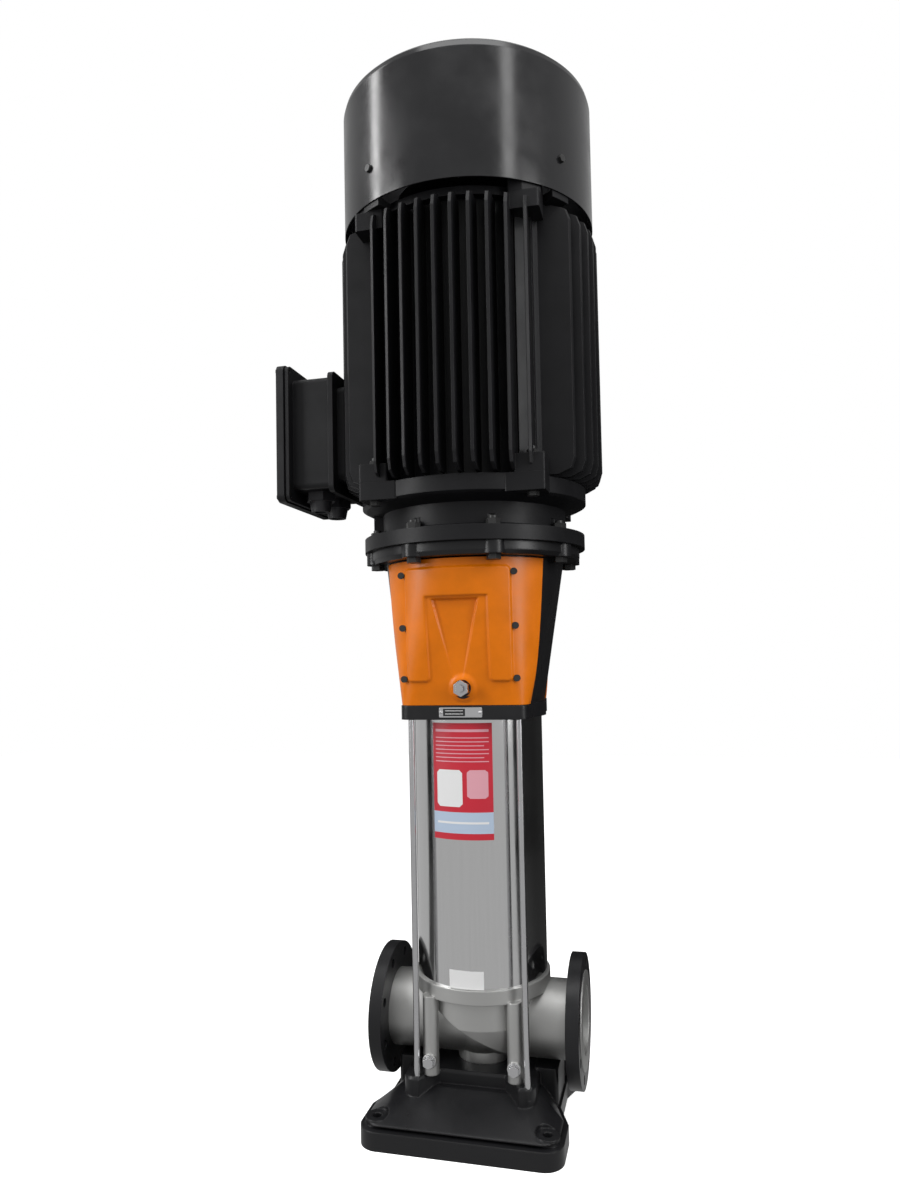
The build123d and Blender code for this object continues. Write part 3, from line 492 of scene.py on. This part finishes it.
# The channel between the panels, which widens and deepens upwards.
CHANNEL_X = -0.004
CHANNEL_Z0 = 0.858
CHANNEL_Z1 = 1.006
CHANNEL_RISE = 0.150
CHANNEL_HALF = 0.009
CHANNEL_HALF_GAIN = 0.036
CHANNEL_DEPTH = 0.001
CHANNEL_DEPTH_GAIN = 0.006
CHANNEL_SLOPE = 0.004

# The raised boss round the vent plug, and the hole in it.
VENT_X = 0.004
VENT_Z = 0.838
BOSS_R = 0.0245
BOSS_HEIGHT = 0.0040
BOSS_SLOPE = 0.010
VENT_HOLE_R = 0.0161
VENT_RIM_R = 1.25 * VENT_HOLE_R


def between(low, high, share):
    return low * (1 - share) + high * share


def stool_section(z, grow):
    """Corner centre and corner radius of the stool's section at a height, grown outwards."""
    share = (z - STOOL_FOOT_Z) / STOOL_RISE
    center_x = between(FOOT_CORNER_X, TOP_CORNER, share)
    center_y = between(FOOT_CORNER_Y, TOP_CORNER, share)
    return center_x, center_y, between(FOOT_CORNER_R, TOP_CORNER_R, share) + grow


def section_point(z, grow, u, side):
    """Point and outward normal on the stool's section, u running over one side from -1 to 1."""
    center_x, center_y, radius = stool_section(z, grow)
    back = GUARD_BACK_FRONT if side < 0 else GUARD_BACK_REAR
    low = (back - center_y) / radius
    turn = math.pi / 2 - (math.asin(low) if low > 0 else 0.0)
    bend_end = center_x + radius * turn
    along = abs(u) * (bend_end + max(center_y - back, 0.0))
    sign = 1.0 if u >= 0 else -1.0
    if along <= center_x:
        x, y, normal_x, normal_y = along, center_y + radius, 0.0, 1.0
    elif along <= bend_end:
        t = math.pi / 2 - (along - center_x) / radius
        normal_x, normal_y = math.cos(t), math.sin(t)
        x, y = center_x + radius * normal_x, center_y + radius * normal_y
    else:
        x, y, normal_x, normal_y = center_x + radius, center_y - (along - bend_end), 1.0, 0.0
    normal = Vector((sign * normal_x, side * normal_y, -WALL_LEAN)).normalized()
    return Vector((sign * x, side * y, z)), normal


def soft_step(d, width):
    """1 well inside an edge and 0 well outside it, with a soft slope of the given width."""
    t = min(max(0.5 - d / width, 0.0), 1.0)
    return t * t * (3 - 2 * t)


def panel_distance(x, z, x0, x1, z0, z1):
    """Distance from a panel's rounded outline, below zero inside it."""
    out_x = abs(x - (x0 + x1) / 2) - (x1 - x0) / 2 + PANEL_CORNER
    out_z = abs(z - (z0 + z1) / 2) - (z1 - z0) / 2 + PANEL_CORNER
    return math.hypot(max(out_x, 0), max(out_z, 0)) + min(max(out_x, out_z), 0) - PANEL_CORNER


def guard_press(x, z, vent):
    """How far the pressed sheet stands out at a place on the guard."""
    nearest = min(panel_distance(x, z, *panel) for panel in PANELS)
    height = PANEL_HEIGHT * soft_step(nearest, PANEL_SLOPE)
    share = (z - CHANNEL_Z0) / CHANNEL_RISE
    if share < 1.0:
        gain = max(share, 0.0)
        half = CHANNEL_HALF + CHANNEL_HALF_GAIN * gain
        channel = max(abs(x - CHANNEL_X) - half, CHANNEL_Z0 - z, z - CHANNEL_Z1)
        height -= (CHANNEL_DEPTH + CHANNEL_DEPTH_GAIN * gain) * soft_step(channel, CHANNEL_SLOPE)
    if vent:
        height += BOSS_HEIGHT * soft_step(math.hypot(x - VENT_X, z - VENT_Z) - BOSS_R, BOSS_SLOPE)
    return height


def cut_vent_hole(bm):
    """Takes out the faces over the vent plug and rounds the rim that they leave."""
    inside = []
    for face in bm.faces:
        middle = face.calc_center_median()
        if math.hypot(middle.x - VENT_X, middle.z - VENT_Z) < VENT_HOLE_R:
            inside.append(face)
    bmesh.ops.delete(bm, geom=inside, context="FACES")
    for vert in bm.verts:
        out = Vector((vert.co.x - VENT_X, 0, vert.co.z - VENT_Z))
        if out.length < VENT_RIM_R and vert.is_boundary:
            rim = out.normalized() * VENT_HOLE_R
            vert.co.x, vert.co.z = VENT_X + rim.x, VENT_Z + rim.z


def guard_sheet(name, side, material):
    """A guard pressed from one sheet, on the front for side -1 and on the rear for side 1."""
    front = side < 0

    def pressed(across, up):
        z = GUARD_Z0 + (GUARD_Z1 - GUARD_Z0) * up
        point, normal = section_point(z, GUARD_GAP, -1 + 2 * across, side)
        return point + normal * guard_press(-side * point.x, z, front)

    bm = shaped_grid(GUARD_COLUMNS, GUARD_ROWS, pressed)
    if front:
        cut_vent_hole(bm)
    bmesh.ops.recalc_face_normals(bm, faces=bm.faces)
    bmesh.ops.solidify(bm, geom=bm.faces[:], thickness=GUARD_THICK)
    return new_object(name, bm, material, GUARD_SMOOTH_ANGLE)


class PUMP_OT_guards(bpy.types.Operator):
    """Presses and paints the two coupling guards"""

    bl_idname = "pump.guards"
    bl_label = "Coupling guards"

    def execute(self, context):
        color = finish_props().guard_color
        paint = painted("guard_paint", color, 0.34, grain=0.08, grain_scale=700.0, shine=0.3)
        for node, side in (("coupling_guard_front", -1), ("coupling_guard_rear", 1)):
            obj = guard_sheet(node + "_sheet", side, paint)
            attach(obj, "pump")
            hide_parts(node)
        return {"FINISHED"}


# ---------------------------------------------------------- labels and plate

LABEL_R = 0.12995
PRINT_LIFT = 0.0001
LABEL_CORNER = 0.006
CORNER_ROWS = 12
LABEL_RULES = 7
RULE_TOP_Z = 0.742
RULE_STEP = 0.0075
RULE_HEIGHT = 0.0018

PLATE_FACE_Y = -0.1405
PLATE_Z = 0.792
RIVET_X = (-0.041, 0.035)
RIVET_FACETS = 24

# Radius and Y of the rivet's head, from the middle of its front to the middle of its back.
RIVET_LINE = ((0.0, -0.1419), (0.0015, -0.1417), (0.0026, -0.1411), (0.0030, -0.1404), (0.0, -0.1404))


def sleeve_patch(name, layer, a0, a1, z0, z1, material, corner=0.0):
    """A film without thickness wrapped on the sleeve, angles in degrees from front towards outlet."""
    radius = LABEL_R + PRINT_LIFT * layer

    def wrapped(across, up):
        z = z0 + (z1 - z0) * up
        edge = min(z - z0, z1 - z)
        cut = 0.0
        if corner > 0 and edge < corner:
            cut = corner - math.sqrt(max(corner * corner - (corner - edge) ** 2, 0.0))
        inset = math.degrees(cut / radius)
        a = math.radians(a0 + inset + (a1 - a0 - 2 * inset) * across)
        return radius * math.sin(a), -radius * math.cos(a), z

    columns = max(int(a1 - a0), 4)
    rows = CORNER_ROWS if corner > 0 else 1
    obj = new_object(name, shaped_grid(columns, rows, wrapped), material)
    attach(obj, "pump")


def plate_mark(name, x0, x1, z0, z1, lift, material):
    """A thin rectangle printed on the metal plate."""
    bm = bmesh.new()
    bmesh.ops.create_cube(bm, size=1.0)
    bmesh.ops.scale(bm, vec=(x1 - x0, lift, z1 - z0), verts=bm.verts)
    middle = ((x0 + x1) / 2, PLATE_FACE_Y - lift / 2, (z0 + z1) / 2)
    bmesh.ops.translate(bm, vec=middle, verts=bm.verts)
    obj = new_object(name, bm, material)
    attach(obj, "pump")


def plate_rivet(name, x, material):
    bm = bmesh.new()
    line = [(x + r, y, PLATE_Z) for r, y in RIVET_LINE]
    turned(bm, line, (x, 0, PLATE_Z), (0, 1, 0), TAU, RIVET_FACETS, True)
    obj = new_object(name, bm, material)
    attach(obj, "pump")


def white_print():
    return bpy.data.materials.get("label_white") or plain("label_white", (0.80, 0.80, 0.80, 1), 0.4)


class PUMP_OT_labels(bpy.types.Operator):
    """Sticks the two blank labels on the sleeve"""

    bl_idname = "pump.labels"
    bl_label = "Blank labels"

    def execute(self, context):
        red = plain("label_red", finish_props().label_red, 0.35)
        white = white_print()
        pink = plain("label_pink", (0.74, 0.36, 0.42, 1), 0.4)
        blue = plain("label_blue", (0.46, 0.56, 0.70, 1), 0.4)
        sleeve_patch("label_field", 0, -30, 24, 0.550, 0.771, red)
        sleeve_patch("label_top_rule", 1, -27, 21, 0.754, 0.759, pink)
        for k in range(LABEL_RULES):
            end = 17 if k % 3 == 2 else 21
            z = RULE_TOP_Z - RULE_STEP * k
            sleeve_patch("label_rule_%d" % k, 1, -27, end, z, z + RULE_HEIGHT, pink)
        sleeve_patch("label_panel", 1, -26, -2, 0.612, 0.682, white, LABEL_CORNER)
        sleeve_patch("label_panel_right", 1, 2, 20, 0.628, 0.682, pink, LABEL_CORNER)
        sleeve_patch("label_band", 1, -30, 24, 0.562, 0.602, blue)
        sleeve_patch("label_band_rule", 2, -26, 20, 0.580, 0.584, white)
        sleeve_patch("type_label", 0, -17, 13, 0.272, 0.306, white)
        return {"FINISHED"}


class PUMP_OT_plate(bpy.types.Operator):
    """Prints plain fields on the metal plate and rivets it"""

    bl_idname = "pump.plate"
    bl_label = "Metal plate"

    def execute(self, context):
        white = white_print()
        ink = plain("plate_ink", (0.015, 0.015, 0.016, 1), 0.4)
        plate_mark("plate_field", -0.037, 0.006, 0.7850, 0.7990, 0.0001, ink)
        plate_mark("plate_rule_top", -0.033, 0.002, 0.7945, 0.7957, 0.0002, white)
        plate_mark("plate_rule_low", -0.033, 0.002, 0.7885, 0.7897, 0.0002, white)
        steel = metal("rivet_steel", finish_props().bolt_color, 0.25)
        for i, x in enumerate(RIVET_X):
            plate_rivet("plate_rivet_%d" % i, x, steel)
        return {"FINISHED"}


# ---------------------------------------------------------------------- stage

ROOM_LIGHT = 0.52
FLOOR_HALF = 6.0
FLOOR_DARK = (0.12, 0.12, 0.12, 1)
FLOOR_PALE = (0.85, 0.85, 0.85, 1)
FLOOR_GLOW = 0.72
FLOOR_MIRRORED = 0.50

# Name, place, the point it faces, width and height, and power in watts.
LAMPS = (
    ("soft_left", (-2.6, -1.8, 2.0), (0, 0, 1.0), (0.9, 2.4), 60),
    ("soft_right", (2.6, -1.2, 1.8), (0, 0, 1.0), (0.8, 2.4), 40),
    ("cowl_strip", (1.95, -1.76, 3.4), (0, 0, 1.9), (0.45, 1.7), 13),
    ("cowl_edge", (-2.3, -0.7, 3.4), (0, 0, 1.9), (0.35, 1.7), 22),
    ("soft_top", (0.2, -1.0, 4.0), (0, 0, 1.2), (2.0, 2.0), 40),
)

# The two stretches of the dark curtain, in degrees from the front towards the outlet.
CURTAIN_STRETCHES = ((74, 215), (-91, -77))
CURTAIN_NEAR = 0.42
CURTAIN_FAR = 2.4
CURTAIN_Z0 = 0.003
CURTAIN_Z1 = 2.6
CURTAIN_STEP = 3
CURTAIN_BLACK = (0.012, 0.012, 0.012, 1)

SENSOR_WIDTH = 36.0


def mix_shaders(tree, share, first, second):
    mix = tree.nodes.new("ShaderNodeMixShader")
    tree.links.new(share, mix.inputs["Fac"])
    tree.links.new(first, mix.inputs[1])
    tree.links.new(second, mix.inputs[2])
    return mix.outputs["Shader"]


def studio_world(scene):
    """A soft grey room that the camera sees as white."""
    world = bpy.data.worlds.new("studio")
    scene.world = world
    world.use_nodes = True
    tree = world.node_tree
    room = tree.nodes["Background"]
    room.inputs["Color"].default_value = WHITE
    room.inputs["Strength"].default_value = ROOM_LIGHT
    seen = tree.nodes.new("ShaderNodeBackground")
    seen.inputs["Color"].default_value = WHITE
    seen.inputs["Strength"].default_value = 1.0
    ray = tree.nodes.new("ShaderNodeLightPath").outputs["Is Camera Ray"]
    both = mix_shaders(tree, ray, room.outputs["Background"], seen.outputs["Background"])
    tree.links.new(both, tree.nodes["World Output"].inputs["Surface"])


def floor_material():
    """White to the camera, mid grey in mirror reflections and dark to all other rays."""
    material, tree, shader, _ = new_material("floor", FLOOR_DARK, 0.8)
    path = tree.nodes.new("ShaderNodeLightPath")
    glow = tree.nodes.new("ShaderNodeEmission")
    glow.inputs["Strength"].default_value = FLOOR_GLOW
    pale = tree.nodes.new("ShaderNodeBsdfDiffuse")
    pale.inputs["Color"].default_value = FLOOR_PALE
    seen = tree.nodes.new("ShaderNodeAddShader")
    tree.links.new(glow.outputs["Emission"], seen.inputs[0])
    tree.links.new(pale.outputs["BSDF"], seen.inputs[1])
    mirrored = tree.nodes.new("ShaderNodeEmission")
    mirrored.inputs["Strength"].default_value = FLOOR_MIRRORED
    camera_ray, glossy_ray = path.outputs["Is Camera Ray"], path.outputs["Is Glossy Ray"]
    inner = mix_shaders(tree, camera_ray, shader.outputs["BSDF"], seen.outputs["Shader"])
    outer = mix_shaders(tree, glossy_ray, inner, mirrored.outputs["Emission"])
    tree.links.new(outer, tree.nodes["Material Output"].inputs["Surface"])
    return material


def floor():
    bm = bmesh.new()
    bmesh.ops.create_grid(bm, x_segments=1, y_segments=1, size=FLOOR_HALF)
    new_object("floor", bm, floor_material())


def lamp(scene, name, location, target, size, power):
    data = bpy.data.lights.new(name, "AREA")
    data.shape = "RECTANGLE"
    data.size, data.size_y = size
    data.energy = power
    obj = bpy.data.objects.new(name, data)
    scene.collection.objects.link(obj)
    obj.location = location
    aim = Vector(target) - Vector(location)
    obj.rotation_euler = aim.to_track_quat("-Z", "Y").to_euler()


def dark_curtain():
    """Dark cloth on the floor and upright beyond it, which only reflections show."""
    bm = bmesh.new()
    for low, high in CURTAIN_STRETCHES:
        t = math.radians(low)
        line = [
            (q * math.sin(t), -q * math.cos(t), z)
            for q, z in ((CURTAIN_NEAR, CURTAIN_Z0), (CURTAIN_FAR, CURTAIN_Z0), (CURTAIN_FAR, CURTAIN_Z1))
        ]
        steps = max(int((high - low) / CURTAIN_STEP), 2)
        turned(bm, line, (0, 0, 0), (0, 0, 1), math.radians(high - low), steps)
    curtain = new_object("dark_curtain", bm, plain("curtain", CURTAIN_BLACK, 0.9))
    curtain.visible_camera = False
    curtain.visible_shadow = False
    curtain.visible_diffuse = False


def look_matrix(location, right, up, forward):
    matrix = Matrix.Identity(4)
    for i in range(3):
        matrix[i][0] = right[i]
        matrix[i][1] = up[i]
        matrix[i][2] = -forward[i]
        matrix[i][3] = location[i]
    return matrix


def camera(scene, shot):
    """Puts the camera in its place, turned by its yaw, pitch and roll."""
    a = shot.azimuth
    place = Vector((shot.distance * math.sin(a), -shot.distance * math.cos(a), shot.height))
    heading = a + shot.yaw
    level = Vector((-math.sin(heading), math.cos(heading), 0))
    right = Vector((math.cos(heading), math.sin(heading), 0))
    upright = Vector((0, 0, 1))
    forward = level * math.cos(shot.pitch) + upright * math.sin(shot.pitch)
    up = -level * math.sin(shot.pitch) + upright * math.cos(shot.pitch)
    c, s = math.cos(shot.roll), math.sin(shot.roll)
    data = bpy.data.cameras.new("camera")
    data.lens = shot.lens
    data.sensor_width = SENSOR_WIDTH
    data.shift_y = shot.shift
    obj = bpy.data.objects.new("camera", data)
    scene.collection.objects.link(obj)
    obj.matrix_world = look_matrix(place, right * c - up * s, right * s + up * c, forward)
    scene.camera = obj


class PUMP_OT_stage(bpy.types.Operator):
    """Sets up the floor, the light and the camera"""

    bl_idname = "pump.stage"
    bl_label = "Stage"

    def execute(self, context):
        scene = context.scene
        studio_world(scene)
        floor()
        for name, location, target, size, power in LAMPS:
            lamp(scene, name, location, target, size, power)
        dark_curtain()
        camera(scene, scene.pump_shot)
        scene.view_settings.view_transform = "Standard"
        return {"FINISHED"}


# ------------------------------------------------------------ panel and start


class PUMP_PT_panel(bpy.types.Panel):
    """Sidebar panel of the pump"""

    bl_idname = "PUMP_PT_panel"
    bl_label = "Pump"
    bl_space_type = "VIEW_3D"
    bl_region_type = "UI"
    bl_category = "Pump"

    def draw(self, context):
        layout = self.layout
        for name in STEPS:
            layout.operator("pump." + name)
        for settings in (context.scene.pump_finish, context.scene.pump_shot):
            for key in type(settings).__annotations__:
                layout.prop(settings, key)


STEPS = ["castings", "motor", "steel", "guards", "labels", "plate", "stage"]
CLASSES = [
    PumpFinish,
    PumpShot,
    PUMP_OT_castings,
    PUMP_OT_motor,
    PUMP_OT_steel,
    PUMP_OT_guards,
    PUMP_OT_labels,
    PUMP_OT_plate,
    PUMP_OT_stage,
    PUMP_PT_panel,
]


def register():
    for cls in CLASSES:
        bpy.utils.register_class(cls)
    bpy.types.Scene.pump_finish = bpy.props.PointerProperty(type=PumpFinish)
    bpy.types.Scene.pump_shot = bpy.props.PointerProperty(type=PumpShot)


def unregister():
    del bpy.types.Scene.pump_finish
    del bpy.types.Scene.pump_shot
    for cls in reversed(CLASSES):
        bpy.utils.unregister_class(cls)


def main():
    register()
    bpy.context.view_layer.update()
    for name in STEPS:
        getattr(bpy.ops.pump, name)()
    bpy.context.view_layer.update()


if __name__ == "__main__":
    main()
